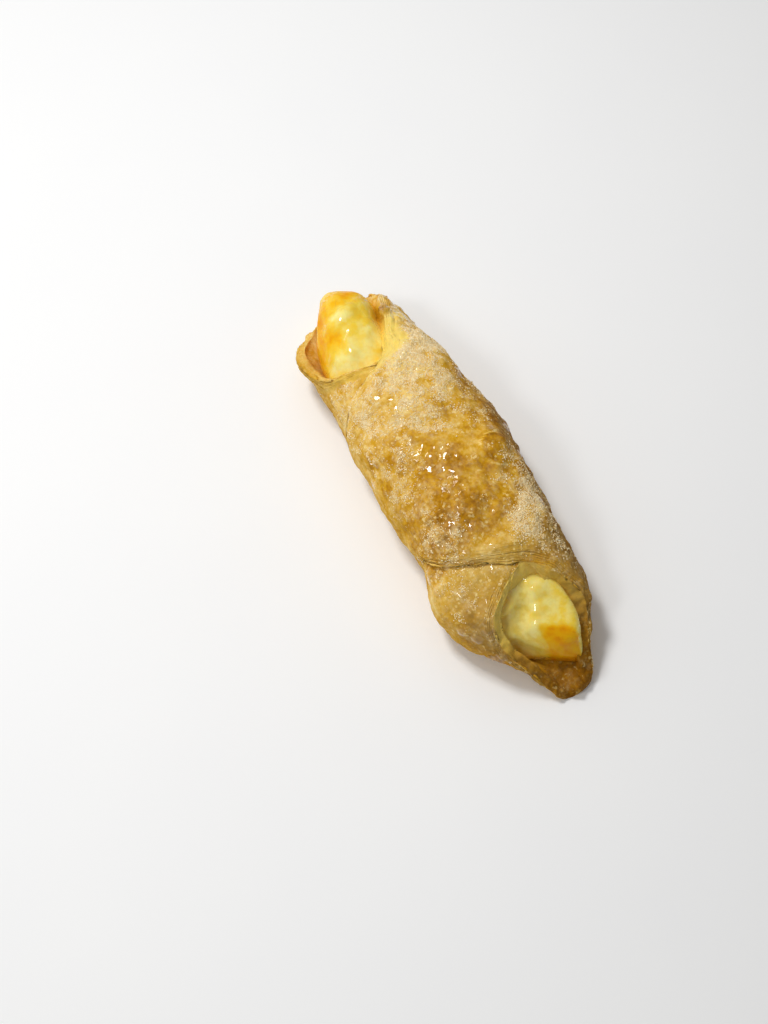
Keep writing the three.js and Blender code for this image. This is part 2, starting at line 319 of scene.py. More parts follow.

# The cheese's lumps, dents and wet drops, and its browning as above, with painted light in some patches.
CHEESE_LUMPS = ((11, 0.9, 60), (4.5, 0.35, 61), (1.6, 0.08, 62))
CHEESE_CALM = 0.35
CHEESE_CALM_FROM = (30, 45)
CHEESE_UPWARD = (0, 0.4)
CHEESE_DENTS = (
    (-59.5, -2, 3, 6, 1.0),
    (-62.5, -6, 3.5, 4, -0.8),
    (-57, 4, 3, 3, -0.9),
    (-53, -8, 4, 3, -0.8),
    (-46, -8, 5, 5, 0.6),
)
CHEESE_TOAST = 0.2
CHEESE_CLOUDS = ((7, 0.12, 70), (2.5, 0.06, 71))
# Some of the paler patches are painted light: a painted highlight band across the far cheese, and paler
# flanks where they face away from the lamps.
CHEESE_TOAST_AND_LIGHT_PATCHES = (
    (-66, -8, 5, 4, 0.3),
    (-60, -11, 6, 4, 0.3),
    (-53, -14, 6, 4, 0.25),
    (-68, 4, 4, 9, 0.25),
    (-57.5, 3, 3.5, 4, 0.2),
    (-53, -8, 4, 3, 0.2),
    (-59.5, -2, 3, 6, -0.4),
    (-45, -6, 6, 8, -0.2),
    (50, 2, 6, 8, -0.12),
    (60, -6, 5, 5, -0.3),
    (-52, 6, 7, 4, -0.25),
)
CHEESE_FAR_TOAST = 0.2
CHEESE_FAR_FROM = (40, 60)
CHEESE_DROPS = (
    (46.5, -4, 3, 0.5),
    (50.5, 3, 2.6, 0.4),
    (55, 0, 2.2, 0.35),
    (52, -7, 2.2, 0.35),
    (58.5, -4, 2, 0.3),
    (-47, -5, 2.6, 0.4),
    (-50, 1, 2, 0.3),
    (-61, 2, 2.2, 0.35),
)
CHEESE_DROP_SHINE = (0, 0.1)

# The browned end face of the near cheese: its direction, place along X and place beside the ridge.
CHEESE_RAGGED = ((4, 1, 72), (1.5, 0.5, 73))
END_FACING = (0.76, -0.53, 0.38)
END_FACED = (0.68, 0.92)
END_FACED_RAGGED = 0.06
END_FROM = (50, 55)
END_SIDE = (-5, -3.2)
END_SIDE_RAGGED = 0.5
END_TOAST = 0.58

# The smear of cheese beside the near ridge: its edge runs from one distance to another along X.
SMEAR_EDGES = (-3.5, -10.5)
SMEAR_EDGE_FROM = 49
SMEAR_EDGE_LENGTH = 14
SMEAR_RAGGED = 0.7
SMEAR_START = (36, 42)
SMEAR_SIDE = (-1.2, 0.6)
SMEAR_FADE = (-7, -2)
SMEAR_THIN = (2, 9)
SMEAR_SIDEWAYS = (-0.9, -0.4)
SMEAR_RISE = 1.2
SMEAR_SPREAD = 2.4
RIDGE_START = (40, 48)
RIDGE_SIDE = (-1.5, 1.5)
RIDGE_RISE = 0.7
RAISED_UPWARD = (-0.3, 0.2)

# Materials. Noises are size in millimetres, detail and roughness; ranges are an old one and a new one;
# bumps are depth in millimetres and strength; colours are screen values.
CRUST_COLOURS = (
    (0.0, (250, 226, 158)),
    (0.25, (234, 192, 98)),
    (0.5, (212, 158, 24)),
    (0.72, (186, 128, 4)),
    (1.0, (136, 86, 0)),
)
SPECKLE_NOISE = (1.6, 4.0, 0.65)
SPECKLE = (0.3, 0.7, -0.14, 0.14)
SPECKLE_ON_DOUGH = (0.0, 1.0, 1.0, 0.3)
DOUGH_COLOUR = (194, 163, 84)
DOUGH_SHARE = 0.6
CRYSTAL_CELLS = 0.7
CRYSTALS = (0.74, 0.84)
CRYSTAL_NOISE = (3.0, 2.0)
CRYSTAL_PATCHES = (0.4, 0.6, 0.1, 0.6)
CRYSTALS_IN_SUGAR = (0.0, 0.12, 0.15, 1.0)
CRYSTAL_COLOUR = (250, 224, 150)
FROST_NOISE = (4.5, 3.0, 0.6)
FROST_PATCHES = (0.4, 0.6, 0.2, 1.5)
GRANULE_NOISE = (1.2, 2.0)
GRANULES = (0.36, 0.64, 0.35, 1.0)
SPARKLE_CELLS = 0.55
SPARKLE = (0.35, 0.65)
FROST_COLOURS = ((238, 200, 114), (254, 236, 180))
MOIST_COLOUR = (250, 220, 108)
MOIST_SHARE = 0.8
MOIST_SHINE = 0.9
WET_STREAKS = (2.4, 0.03, 0.07)
CRUST_LEAST_WET = 0.05
CRUST_ROUGHNESS = (0.0, 1.0, 0.65, 0.4)
GRANULE_BUMP = (0.4, 0.8)
FINE_NOISE = (0.7, 3.0, 0.6)
FINE_BUMP = (0.15, 0.7)
WAVE_NOISE = (2.4, 2.0)
WAVE_BUMP = (0.3, 0.6)
COAT_NOISE = (4.0, 1.0)
COAT_BUMP = (0.6, 0.9)
CRUST_FINISH = {
    "Specular IOR Level": 0.05,
    "Coat Roughness": 0.03,
    "Subsurface Weight": 0.1,
    "Subsurface Radius": (1.0, 0.5, 0.2),
    "Subsurface Scale": 1.0 * MILLIMETRE,
}
CHEESE_COLOURS = (
    (0.0, (252, 234, 142)),
    (0.3, (248, 212, 70)),
    (0.6, (248, 188, 8)),
    (0.85, (240, 160, 0)),
    (1.0, (208, 128, 0)),
)
CHEESE_TINT_NOISE = (3.0, 2.0)
CHEESE_TINT = (0.3, 0.7, -0.12, 0.12)
SMEAR_NOISE = (2.6, 3.0)
SMEAR_STREAKS = (0.35, 0.65)
SMEAR_COLOURS = ((236, 208, 90), (250, 232, 140))
# The thin smear by the near lip is paler: its own light tone, and painted light against the lip's shadow.
SMEAR_THIN_COLOUR_AND_LIGHT = (252, 220, 108)
SMEAR_SHARE = 0.9
CHEESE_GLOSS_NOISE = (2.5, 2.0)
CHEESE_ROUGHNESS = (0.3, 0.7, 0.38, 0.55)
CHEESE_GRAIN_NOISE = (1.8, 3.0)
CHEESE_GRAIN_BUMP = (0.15, 0.5)
CHEESE_LEAST_WET = 0.08
CHEESE_DRY = (0.4, 0.8, 1.0, 0.15)
CHEESE_FINISH = {
    "Specular IOR Level": 0.1,
    "Coat Roughness": 0.04,
    "Subsurface Weight": 0.25,
    "Subsurface Radius": (1.0, 0.7, 0.25),
    "Subsurface Scale": 2.5 * MILLIMETRE,
}
GRAIN_COLOURS = ((238, 202, 126), (255, 244, 208))
GRAIN_ROUGHNESS = (0.0, 1.0, 0.35, 0.15)
FLOOR_NOISE = (60, 2.0)
FLOOR_COLOURS = ((250, 250, 250), (253, 253, 252))
FLOOR_ROUGHNESS = 0.7

# The photograph's view.
PICTURE = (768, 1024)
TARGET = (0, 0, 16)
TARGET_PIXEL = (443, 475)
VIEW_AZIMUTH = 59
VIEW_ELEVATION = 62
VIEW_DISTANCE = 480
PIXELS_PER_MILLIMETRE = 3.2
SENSOR_WIDTH = 36

# Studio light: name, place in metres, size and power.
LIGHTS = (
    ("key", (-0.3, -0.18, 0.5), 1.4, 2.2),
    ("side", (0.05, -0.38, 0.55), 0.12, 0.6),
    ("glint", (-0.3, -0.12, 0.67), 0.15, 2.5),
)
WORLD_COLOUR = (1, 1, 1, 1)
WORLD_STRENGTH = 0.2
FLOOR_REACH = 3

SEED = 7


def through(*points):
    """A smooth curve through a few (place, value) points, level beyond its ends."""
    places, values = np.array(points, float).T
    slopes = np.diff(values) / np.diff(places)
    tangents = np.concatenate([slopes[:1], (slopes[:-1] + slopes[1:]) / 2, slopes[-1:]])

    def curve(place):
        p = np.clip(place, places[0], places[-1])
        i = np.clip(np.searchsorted(places, p) - 1, 0, len(slopes) - 1)
        step = places[i + 1] - places[i]
        t = (p - places[i]) / step
        ends = values[i] * (1 + 2 * t) * (1 - t) ** 2 + values[i + 1] * t * t * (3 - 2 * t)
        return ends + step * t * (1 - t) * (tangents[i] * (1 - t) - tangents[i + 1] * t)

    return curve


def smoothstep(x, low, high):
    t = np.clip((x - low) / (high - low), 0, 1)
    return t * t * (3 - 2 * t)


def lerp(a, b, t):
    return a + (b - a) * t


def rounded(value, squareness):
    """A power that keeps the sign, for rounded-square sections."""
    return np.sign(value) * np.abs(value) ** (2 / squareness)


def noise_at(points, size, seed=0):
    """Smooth noise from about -1 to 1 at points, with features of a given size in millimetres."""
    places = np.asarray(points) / size + NOISE_STEP * (seed + 1)
    values = [noise.noise(place) for place in places.reshape(-1, 3).tolist()]
    return np.array(values).reshape(places.shape[:-1])


def clouds(points, noises):
    """Noises of several sizes, given as (size, share, seed), added up at points."""
    return sum(share * noise_at(points, size, seed) for size, share, seed in noises)


# Outline of the roll, as in the solids: places are shares of the half length.
side_share = through(
    (-1, 0.3), (-0.95, 0.48), (-0.87, 0.7), (-0.76, 0.81), (-0.55, 0.85), (-0.3, 0.91), (0.05, 1),
    (0.27, 0.95), (0.5, 0.98), (0.62, 0.92), (0.72, 0.79), (0.83, 0.55), (0.94, 0.35), (1, 0.28),
)
crown_share = through(
    (-1, 0.5), (-0.9, 0.74), (-0.75, 0.87), (-0.5, 0.95), (-0.1, 1), (0.3, 0.97), (0.55, 0.88),
    (0.7, 0.8), (0.85, 0.66), (1, 0.42),
)
drift = through(
    (-1, -0.4), (-0.8, -0.6), (-0.5, -0.2), (-0.2, 1), (0, 0.8), (0.2, -0.8), (0.4, -3.4), (0.54, -4.6),
    (0.64, -3.6), (0.74, -2.2), (0.86, -1.9), (1, -1.4),
)
top_edge = through(
    (-1, 0), (-0.98, 56), (-0.93, 98), (-0.86, 126), (-0.76, 147), (-0.62, 164), (FAR_V, FAR_V_ANGLE),
    (-0.42, 218), (-0.34, 260), (-0.22, 292), (-0.08, 306), (0.1, 296), (0.28, 266), (0.42, 221),
    (NEAR_V, NEAR_V_ANGLE), (0.64, 149), (0.71, 131), (0.8, 110), (0.88, 94), (0.95, 70), (0.985, 46),
    (1, 0),
)
lower_far_edge = through(
    (-1, 0), (-0.985, 40), (-0.9, 76), (-0.79, 94), (-0.66, 105), (-0.55, 124), (FAR_V, 360 - FAR_V_ANGLE),
)
lower_near_edge = through(
    (NEAR_V, 360 - NEAR_V_ANGLE), (0.62, 160), (0.68, 137), (0.757, 112), (0.85, 92),
    (0.94, 69), (0.985, 45), (1, 0),
)
top_rim = through(
    (-1, 3), (-0.94, 6.5), (-0.84, 9), (-0.5, 5.5), (0.5, 5.5), (0.62, 8), (0.72, 9), (0.82, 7.5),
    (0.92, 5), (1, 3),
)
cheese_top = through(
    (CHEESE_FAR, 0.74), (-0.76, 0.83), (-0.6, 0.78), (-0.45, 0.66), (0.3, 0.66), (0.6, 0.66),
    (0.8, 0.54), (CHEESE_NEAR, 0.52),
)
cheese_base = through((CHEESE_FAR, 0.2), (-0.7, 0.15), (-0.4, 0.17), (0.3, 0.17), (CHEESE_NEAR, 0.14))
cheese_middle = through((0.3, 0.45), (0.65, 0.55), (CHEESE_NEAR, 0.45))
cheese_half_width = through(
    (CHEESE_FAR, 0.18), (-0.8, 0.19), (-0.7, 0.215), (-0.6, 0.24), (-0.4, 0.26),
    (0.3, 0.25), (0.62, 0.29), (0.72, 0.26), (CHEESE_NEAR, 0.18),
)
cheese_shift = through(
    (CHEESE_FAR, 2.6), (-0.87, 2), (-0.8, 0), (-0.7, -3), (-0.6, -4.6), (-0.4, -3), (0, 0),
    (0.3, 0), (0.62, -3.2), (0.8, -1.8), (CHEESE_NEAR, -1.6),
)
cheese_ridge = through((-0.6, 0.1), (0.2, 0), (0.55, 0.6), (0.7, 0.5), (CHEESE_NEAR, 0.33))
ridge_shift = through((0.1, 0), (0.5, 8), (0.62, 8.4), (0.72, 6.6), (CHEESE_NEAR, 3.6))
cheese_squareness = through((-0.5, 2.7), (0.5, 3.2), (CHEESE_NEAR, 5.5))

# How far the solids were set back over the origin: the near tip of the roll tells.
pastry_places = [vertex.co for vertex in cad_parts["pastry"].data.vertices]
near_tip = max(pastry_places, key=lambda place: place.x)
SET_BACK = np.array([0, near_tip.y / MILLIMETRE - float(drift(1)), 0])


def sheet_point(x, angle, height):
    """Point of the sheet at a station, an angle from the underside and a height above its plain face."""
    place = x / HALF
    crown = crown_share(place) * (HEIGHT - FLAP)
    centre = CENTRE_SHARE * crown
    rise = np.where(np.cos(angle) > 0, centre + PRESS, crown - centre)
    half = side_share(place) * RADIUS
    y = drift(place) + (half + height) * rounded(np.sin(angle), SQUARENESS)
    z = centre - (rise + height) * rounded(np.cos(angle), SQUARENESS)
    z = np.maximum(np.maximum(z, -height), 0)
    return np.stack(np.broadcast_arrays(x, y, z), axis=-1)


def past_v(x):
    """How far a station lies outside the V, towards its end of the roll."""
    return np.maximum(np.maximum(x - NEAR_V * HALF, FAR_V * HALF - x), 0)


def edge_wobble(x, edge):
    """Unevenness of a cut edge along X, as an angle."""
    line = np.stack(np.broadcast_arrays(x, EDGE_WOBBLES_APART * edge, 0.0), axis=-1)
    return EDGE_WOBBLE / RADIUS * noise_at(line, EDGE_WOBBLE_SIZE, EDGE_WOBBLE_SEED)


def edge_angles(x):
    """Angles of the lower and the top cut edge at each station."""
    place = x / HALF
    end = np.radians(top_edge(place))
    far = -np.radians(lower_far_edge(place))
    near = -np.radians(lower_near_edge(place))
    calm = smoothstep(HALF - np.abs(x), 0, CALM_ENDS)
    end = end + calm * edge_wobble(x, TOP_EDGE)
    apart = smoothstep(past_v(x), 0, LAYER_FADE)
    near = near + apart * calm * edge_wobble(x, NEAR_EDGE)
    far = far + apart * calm * edge_wobble(x, FAR_EDGE)
    start = np.where(place < FAR_V, far, np.where(place > NEAR_V, near, end - 2 * np.pi))
    return start, end


def flap_height(x, angle, end):
    """Thickness that the top flap adds, thinner where it is tucked in and at its cut edge."""
    root = smoothstep(angle, *np.radians((FLAP_FROM, FLAP_TO)))
    tuck = smoothstep(angle, *np.radians((TUCK_FROM, TUCK_TO)))
    edge = 1 - smoothstep((end - angle) * RADIUS, 0, EDGE_SLOPE)
    thickness = FLAP * root * (1 - TUCK_THINNING * tuck) * (1 - EDGE_THINNING * edge)
    return thickness * (1 - smoothstep(past_v(x), 0, FLAP_FADE))


def lip_curl(x, angle, start):
    """Height that the lower flap's edge curls up at the far end."""
    rises, full, fade, gone = (place * HALF for place in LIP_PLACES)
    along = smoothstep(x, rises, full) * (1 - smoothstep(x, fade, gone))
    return LIP_CURL * along * (1 - smoothstep((angle - start) * RADIUS, 0, LIP_WIDTH))


def layers(x, distance, edge):
    """Steps down over the broken layers towards a cut edge; they wander and stop and start."""
    drop = 0
    for number, place in enumerate(LAYER_PLACES):
        route = np.broadcast_arrays(x, LAYER_LINES_APART * number, LAYER_EDGES_APART * edge)
        line = np.stack(route, axis=-1)[:, :1]
        wander = LAYER_WANDER * noise_at(line, LAYER_WANDER_SIZE)
        strength = smoothstep(noise_at(line, LAYER_GAP_SIZE, LAYER_GAP_SEED), *LAYER_GAPS)
        middle = place + wander
        drop = drop - LAYER_DROP * strength * (1 - smoothstep(distance, middle - LAYER_SLOPE, middle))
    return drop


def relief(x, angle, start, end):
    """Height of the sheet's outer face over its plain shape: flap, curl, layers and slow waves."""
    open_edge = smoothstep(past_v(x), 0, LAYER_FADE)
    uneven = open_edge * layers(x, (angle - start) * RADIUS, LOWER_EDGE)
    uneven = uneven + layers(x, (end - angle) * RADIUS, TOP_EDGE)
    for height, along, turns, phase in WAVES:
        uneven = uneven + height * np.sin(along * x + turns * angle + phase)
    calm = smoothstep(HALF - np.abs(x), 0, CALM_ENDS)
    return flap_height(x, angle, end) + lip_curl(x, angle, start) + calm * uneven


def wrap_angles(start, end):
    """Angles of the outer face from the lower edge to the top one, closer together beside the edges."""
    low = np.maximum(np.radians(STILL_FROM), EDGE_SHARE * start)
    high = np.minimum(np.radians(STILL_TO), EDGE_SHARE * end)
    low_band = np.minimum(EDGE_BAND / RADIUS, (low - start) / 2)
    high_band = np.minimum(EDGE_BAND / RADIUS, (end - high) / 2)
    stops = (start, start + low_band, low, high, end - high_band, end)
    columns = [start]
    for zone, steps in enumerate(WRAP_STEPS):
        columns.append(lerp(stops[zone], stops[zone + 1], np.arange(1, steps + 1) / steps))
    return np.concatenate(columns, axis=1)


def stations(steps):
    """Places from the far tip to the near one, closer together at both."""
    v = np.arange(steps + 1) / steps
    return lerp(2 * v - 1, -np.cos(np.pi * v), CLOSING)


def roll_grid():
    """Points of the roll by station and step round, and what its looks need to know about each."""
    x = HALF * stations(ROLL_STEPS)[1:-1, None]
    start, end = edge_angles(x)
    angle = wrap_angles(start, end)
    outer = sheet_point(x, angle, relief(x, angle, start, end))

    step = np.arange(1, MOUTH_STEPS)[None]
    inside = np.clip((step - RIM_STEPS) / (MOUTH_STEPS - 2 * RIM_STEPS), 0, 1)
    rim = np.clip(np.minimum(step, MOUTH_STEPS - step) / RIM_STEPS, 0, 1)
    rim_depth = lerp(top_rim(x / HALF), RIM, step / MOUTH_STEPS)
    depth = rim_depth * rim + (SHEET - rim_depth) * np.sin(np.pi * inside)
    mouth_angle = lerp(end, start, inside)
    trough = sheet_point(x, mouth_angle, lip_curl(x, mouth_angle, start) - depth)
    across = lerp(outer[:, -1:], outer[:, :1], (step / MOUTH_STEPS)[..., None])
    mouth = lerp(across, trough, smoothstep(past_v(x), 0, SCOOP)[..., None])

    def joined(on_outer, on_mouth):
        parts = (np.broadcast_to(on_outer, outer.shape[:2]), np.broadcast_to(on_mouth, mouth.shape[:2]))
        return np.concatenate(parts, axis=1)

    to_lower = joined((angle - start) * RADIUS, 0.0)
    to_top = joined((end - angle) * RADIUS, 0.0)
    in_mouth = joined(0.0, rim)
    rim_place = joined(0.0, rim * rim_depth)
    across_mouth = joined(0.0, inside)
    return np.concatenate([outer, mouth], axis=1), (to_lower, to_top, in_mouth, rim_place, across_mouth)


def closed_triangles(points, rows, columns):
    """Triangles of a grid closed round its columns, with a pole at each end; cells split the short way."""
    index = np.arange(rows * columns).reshape(rows, columns)
    following = np.roll(index, -1, axis=1)
    a, b, c, d = (corner.reshape(-1) for corner in (index[:-1], following[:-1], following[1:], index[1:]))
    one_way = np.linalg.norm(points[a] - points[c], axis=1)
    other_way = np.linalg.norm(points[b] - points[d], axis=1)
    straight = one_way < other_way
    first_halves = np.stack([a, b, np.where(straight, c, d)], axis=1)
    second_halves = np.stack([np.where(straight, a, b), c, d], axis=1)
    pole = np.full(columns, rows * columns)
    far_fan = np.stack([pole, following[0], index[0]], axis=-1)
    near_fan = np.stack([pole + 1, index[-1], following[-1]], axis=-1)
    return np.concatenate([first_halves, second_halves, far_fan, near_fan])


def point_normals(points, triangles):
    """Unit normals at points, from the triangles round them."""
    a, b, c = points[triangles].transpose(1, 0, 2)
    face = np.cross(b - a, c - a)
    normals = np.zeros_like(points)
    for corner in triangles.T:
        np.add.at(normals, corner, face)
    return normals / np.maximum(np.linalg.norm(normals, axis=1, keepdims=True), TINY)


def make_piece(name, points, faces, attributes, material, smooth=True):
    """A mesh object in metres from points in millimetres, with point attributes for its material."""
    mesh = bpy.data.meshes.new(name)
    mesh.from_pydata((points * MILLIMETRE).tolist(), [], faces.tolist())
    mesh.polygons.foreach_set("use_smooth", np.full(len(mesh.polygons), smooth))
    for label, values in attributes.items():
        layer = mesh.attributes.new(label, "FLOAT", "POINT")
        layer.data.foreach_set("value", np.asarray(values, np.float32))
    mesh.materials.append(material)
    mesh.update()
    piece = bpy.data.objects.new(name, mesh)
    bpy.context.scene.collection.objects.link(piece)
    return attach(piece, "root")


def linear(colour):
    """Linear colour of sRGB screen values up to 255."""
    screen = np.array(colour) / 255
    scaled = np.where(screen <= 0.04045, screen / 12.92, ((screen + 0.055) / 1.055) ** 2.4)
    return (*scaled, 1.0)


class Nodes:
    """A material's nodes, added and joined in short lines."""

    def __init__(self, name):
        self.material = bpy.data.materials.new(name)
        self.material.use_nodes = True
        self.tree = self.material.node_tree
        self.shader = self.tree.nodes["Principled BSDF"]
        self.coordinates = self.tree.nodes.new("ShaderNodeTexCoord").outputs["Object"]

    def set(self, socket, value):
        self.join(value, self.shader.inputs[socket])

    def finish(self, values):
        for socket, value in values.items():
            self.set(socket, value)

    def join(self, value, socket):
        if isinstance(value, bpy.types.NodeSocket):
            self.tree.links.new(value, socket)
        else:
            socket.default_value = value

    def attribute(self, name):
        node = self.tree.nodes.new("ShaderNodeAttribute")
        node.attribute_name = name
        return node.outputs["Fac"]

    def noise(self, size, detail, roughness=0.5):
        """Noise from 0 to 1 with features of a given size in millimetres."""
        node = self.tree.nodes.new("ShaderNodeTexNoise")
        node.inputs["Scale"].default_value = 1 / (size * MILLIMETRE)
        node.inputs["Detail"].default_value = detail
        node.inputs["Roughness"].default_value = roughness
        self.join(self.coordinates, node.inputs["Vector"])
        return node.outputs["Fac"]

    def cells(self, size):
        """A tone for each cell of a given size in millimetres."""
        node = self.tree.nodes.new("ShaderNodeTexVoronoi")
        node.inputs["Scale"].default_value = 1 / (size * MILLIMETRE)
        self.join(self.coordinates, node.inputs["Vector"])
        return node.outputs["Color"]

    def streaks(self, size, inner, outer):
        """Thin curved lines: 1 within one distance of the middle value of a noise, 0 beyond the other."""
        middle = self.math("SUBTRACT", self.noise(size, 1.0), 0.5)
        return self.spread(self.math("ABSOLUTE", middle, 0.0), inner, outer, 1.0, 0.0)

    def math(self, operation, a, b):
        node = self.tree.nodes.new("ShaderNodeMath")
        node.operation = operation
        self.join(a, node.inputs[0])
        self.join(b, node.inputs[1])
        return node.outputs["Value"]

    def spread(self, value, low, high, new_low=0.0, new_high=1.0):
        """A value mapped from one range to another and kept within it."""
        node = self.tree.nodes.new("ShaderNodeMapRange")
        node.interpolation_type = "SMOOTHSTEP"
        self.join(value, node.inputs["Value"])
        node.inputs["From Min"].default_value = low
        node.inputs["From Max"].default_value = high
        node.inputs["To Min"].default_value = new_low
        node.inputs["To Max"].default_value = new_high
        return node.outputs["Result"]

    def mix(self, share, a, b):
        node = self.tree.nodes.new("ShaderNodeMixRGB")
        self.join(share, node.inputs["Fac"])
        self.join(a, node.inputs["Color1"])
        self.join(b, node.inputs["Color2"])
        return node.outputs["Color"]

    def ramp(self, value, stops):
        """A colour looked up along stops of place and screen colour."""
        node = self.tree.nodes.new("ShaderNodeValToRGB")
        elements = node.color_ramp.elements
        while len(elements) < len(stops):
            elements.new(1.0)
        for element, (place, colour) in zip(elements, stops):
            element.position = place
            element.color = linear(colour)
        self.join(value, node.inputs["Fac"])
        return node.outputs["Color"]

    def bump(self, height, distance, strength, before=None):
        node = self.tree.nodes.new("ShaderNodeBump")
        node.inputs["Strength"].default_value = strength
        node.inputs["Distance"].default_value = distance * MILLIMETRE
        self.join(height, node.inputs["Height"])
        if before is not None:
            self.join(before, node.inputs["Normal"])
        return node.outputs["Normal"]


def patch_sum(points, patches):
    """Soft-edged patches, given as (x, y, reach along X, reach along Y, strength), added up at points."""
    total = np.zeros(len(points))
    for x, y, reach_x, reach_y, strength in patches:
        square = ((points[:, 0] - x) / reach_x) ** 2 + ((points[:, 1] - y) / reach_y) ** 2
        total += strength * np.exp(-square)
    return total


def blister(points, centre, radius, height, slope=BLISTER_SLOPE):
    """A low dome with a clear rim, raised round a point; its slope takes a share of the radius."""
    distance = np.linalg.norm(points - centre, axis=1) / radius
    return height * smoothstep(1 - distance, 0, slope)


class Crust:
    """The roll's fine mesh, with what its relief and its looks need to know about each point."""

    def __init__(self):
        grid, facts = roll_grid()
        tips = np.array([[place * HALF, float(drift(place)), RIM / 2] for place in (-1, 1)])
        self.points = np.concatenate([grid.reshape(-1, 3), tips]) + SET_BACK
        self.x, self.y, self.z = self.points.T
        self.triangles = closed_triangles(self.points, *grid.shape[:2])
        self.normals = point_normals(self.points, self.triangles)
        facts = [np.append(fact.reshape(-1), (0, 0)) for fact in facts]
        self.to_lower, self.to_top, in_mouth, self.rim_place, self.across_mouth = facts
        self.on_face = in_mouth == 0
        self.on_rim = (in_mouth > 0) & (in_mouth < 1)
        self.on_top = (self.normals[:, 2] > TOP_FACING) & self.on_face
        self.upward = smoothstep(self.normals[:, 2], *UPWARD)
        self.underside = 1 - smoothstep(self.z, *UNDERSIDE)

    def top_blister(self, x, y, *shape):
        """A blister round the point of the top face nearest to a place seen from above."""
        square = (self.x - x) ** 2 + (self.y - y) ** 2
        nearest = np.argmin(np.where(self.on_top, square, np.inf))
        return blister(self.points, self.points[nearest], *shape)


def raise_blisters(crust, random):
    """Height of the large and the small blisters."""
    domes = np.zeros(len(crust.points))
    for row in BLISTERS:
        domes += crust.top_blister(*row)
    for number in random.choice(np.flatnonzero(crust.on_face), SMALL_BLISTERS):
        radius = random.uniform(*SMALL_BLISTER_RADIUS)
        height = random.uniform(*SMALL_BLISTER_HEIGHT)
        domes += blister(crust.points, crust.points[number], radius, height)
    return domes


def lay_film(crust):
    """Where glaze has run, and where it is a smooth film."""
    glossy = crust.upward * patch_sum(crust.points, GLAZE_PATCHES) * crust.on_face
    uneven = clouds(crust.points * FILM_STRETCH, FILM_WAVES) + clouds(crust.points, FILM_DETAIL)
    return glossy, smoothstep(glossy + FILM_RAGGED * uneven, *FILM_FROM)


def drop_glaze(crust, random, glossy):
    """Height of the drops that stand on the glaze."""
    drops = np.zeros(len(crust.points))
    for number in random.choice(len(crust.points), GLAZE_DROPS, p=glossy / glossy.sum()):
        radius = random.uniform(*GLAZE_DROP_RADIUS)
        rise = radius * random.uniform(*GLAZE_DROP_STEEPNESS)
        distance = np.linalg.norm(crust.points - crust.points[number], axis=1) / radius
        drops = np.maximum(drops, rise * np.clip(1 - distance ** 2, 0, 1))
    return drops


def far_arm_share(crust):
    """The arm of pastry that lies along the cheese at the far end."""
    along = smoothstep(-crust.x, *FAR_ARM_START) * (1 - smoothstep(-crust.x, *FAR_ARM_END))
    return along * (1 - smoothstep(crust.across_mouth, *FAR_ARM_DEPTH))


def edge_layers(crust, wander, far_arm):
    """Where the crust is beside a cut edge that shows, and the fine lines of its layers there."""
    hidden = EDGE_HIDDEN * (1 - smoothstep(past_v(crust.x), 0, LAYER_FADE))
    edge = np.minimum(crust.to_lower + hidden, crust.to_top)
    beside_edge = (1 - smoothstep(edge, *EDGE_LINE_REACH)) * crust.on_face
    lines = beside_edge * np.cos(2 * np.pi * (edge / EDGE_LINE + EDGE_LINE_WANDER * wander))
    return beside_edge, lines * (1 - far_arm * smoothstep(crust.y, *EDGE_LINES_END))


def crust_unevenness(crust, film, wander):
    """Height of swells, pebbles and flakes, smoother under the film, and of the rims' crags and layers."""
    flakes = clouds(crust.points * FLAKE_STRETCH, FLAKES)
    steps = np.floor(flakes) + smoothstep(flakes - np.floor(flakes), *FLAKE_SLOPE) - flakes
    rough = clouds(crust.points, PEBBLES) + FLAKE_STEP * steps * crust.on_face
    uneven = clouds(crust.points, SWELLS) * (1 - FILM_SMOOTHING * film) + rough * (1 - film)
    end_rough = smoothstep(crust.x, *ROUGH_END)
    crags = clouds(crust.points, CRAGS) * (end_rough + crust.on_rim)
    crags = crags + clouds(crust.points, RIM_SWELLS) * crust.on_rim
    layer_wave = np.cos(2 * np.pi * (crust.rim_place / RIM_LAYER + wander))
    return uneven + crags + RIM_LAYER_DEPTH * layer_wave * crust.on_rim


def doughiness(crust):
    """Where the crust is dull and doughy."""
    patches = np.clip(patch_sum(crust.points, DOUGH_PATCHES), 0, 1)
    dough = patches * np.where(crust.on_face, crust.upward, 1)
    return np.maximum(dough, UNDERSIDE_DOUGH * crust.underside * crust.on_face)


def browning_and_painted_light(crust, dough, domes, film_edge, beside_edge, edge_lines):
    """How brown the crust is baked, outside and in the mouths, with painted shade and painted light added
    in patches.
    """
    cloudy = clouds(crust.points, TOAST_CLOUDS) * (1 - DOUGH_CALM * dough)
    toast_and_painted_light = TOAST_BASE + cloudy + DOME_TOAST * domes
    # These patches add painted shade on the near half's right side, right lip, tongue and lower panel, and
    # painted light on the far top and the flap band.
    toast_and_painted_light = toast_and_painted_light + crust.upward * patch_sum(crust.points, TOAST_AND_PAINTED_LIGHT_PATCHES)
    toast_and_painted_light = toast_and_painted_light + UNDERSIDE_TOAST * crust.underside
    # Beside cut edges the layer lines are darker in their grooves: partly the layers' own tone, partly
    # painted shade.
    toast_and_painted_light = toast_and_painted_light + EDGE_TOAST * beside_edge - EDGE_LINE_TOAST_AND_SHADE * edge_lines
    within = film_edge / FILM_EDGE[-1]
    # A pale ring is painted halfway down the film's raised edge as a highlight; it is full there.
    highlight_ring = 4 * within * (1 - within)
    toast_and_painted_light = toast_and_painted_light + FILM_EDGE_TOAST * within - FILM_EDGE_HIGHLIGHT * highlight_ring
    # The inner patches add painted shade at the near tip and the near lips.
    inner = INNER_TOAST + INNER_CLOUDS * cloudy + patch_sum(crust.points, INNER_TOAST_AND_SHADE_PATCHES)
    return np.clip(np.where(crust.on_face, toast_and_painted_light, inner), 0, 1)


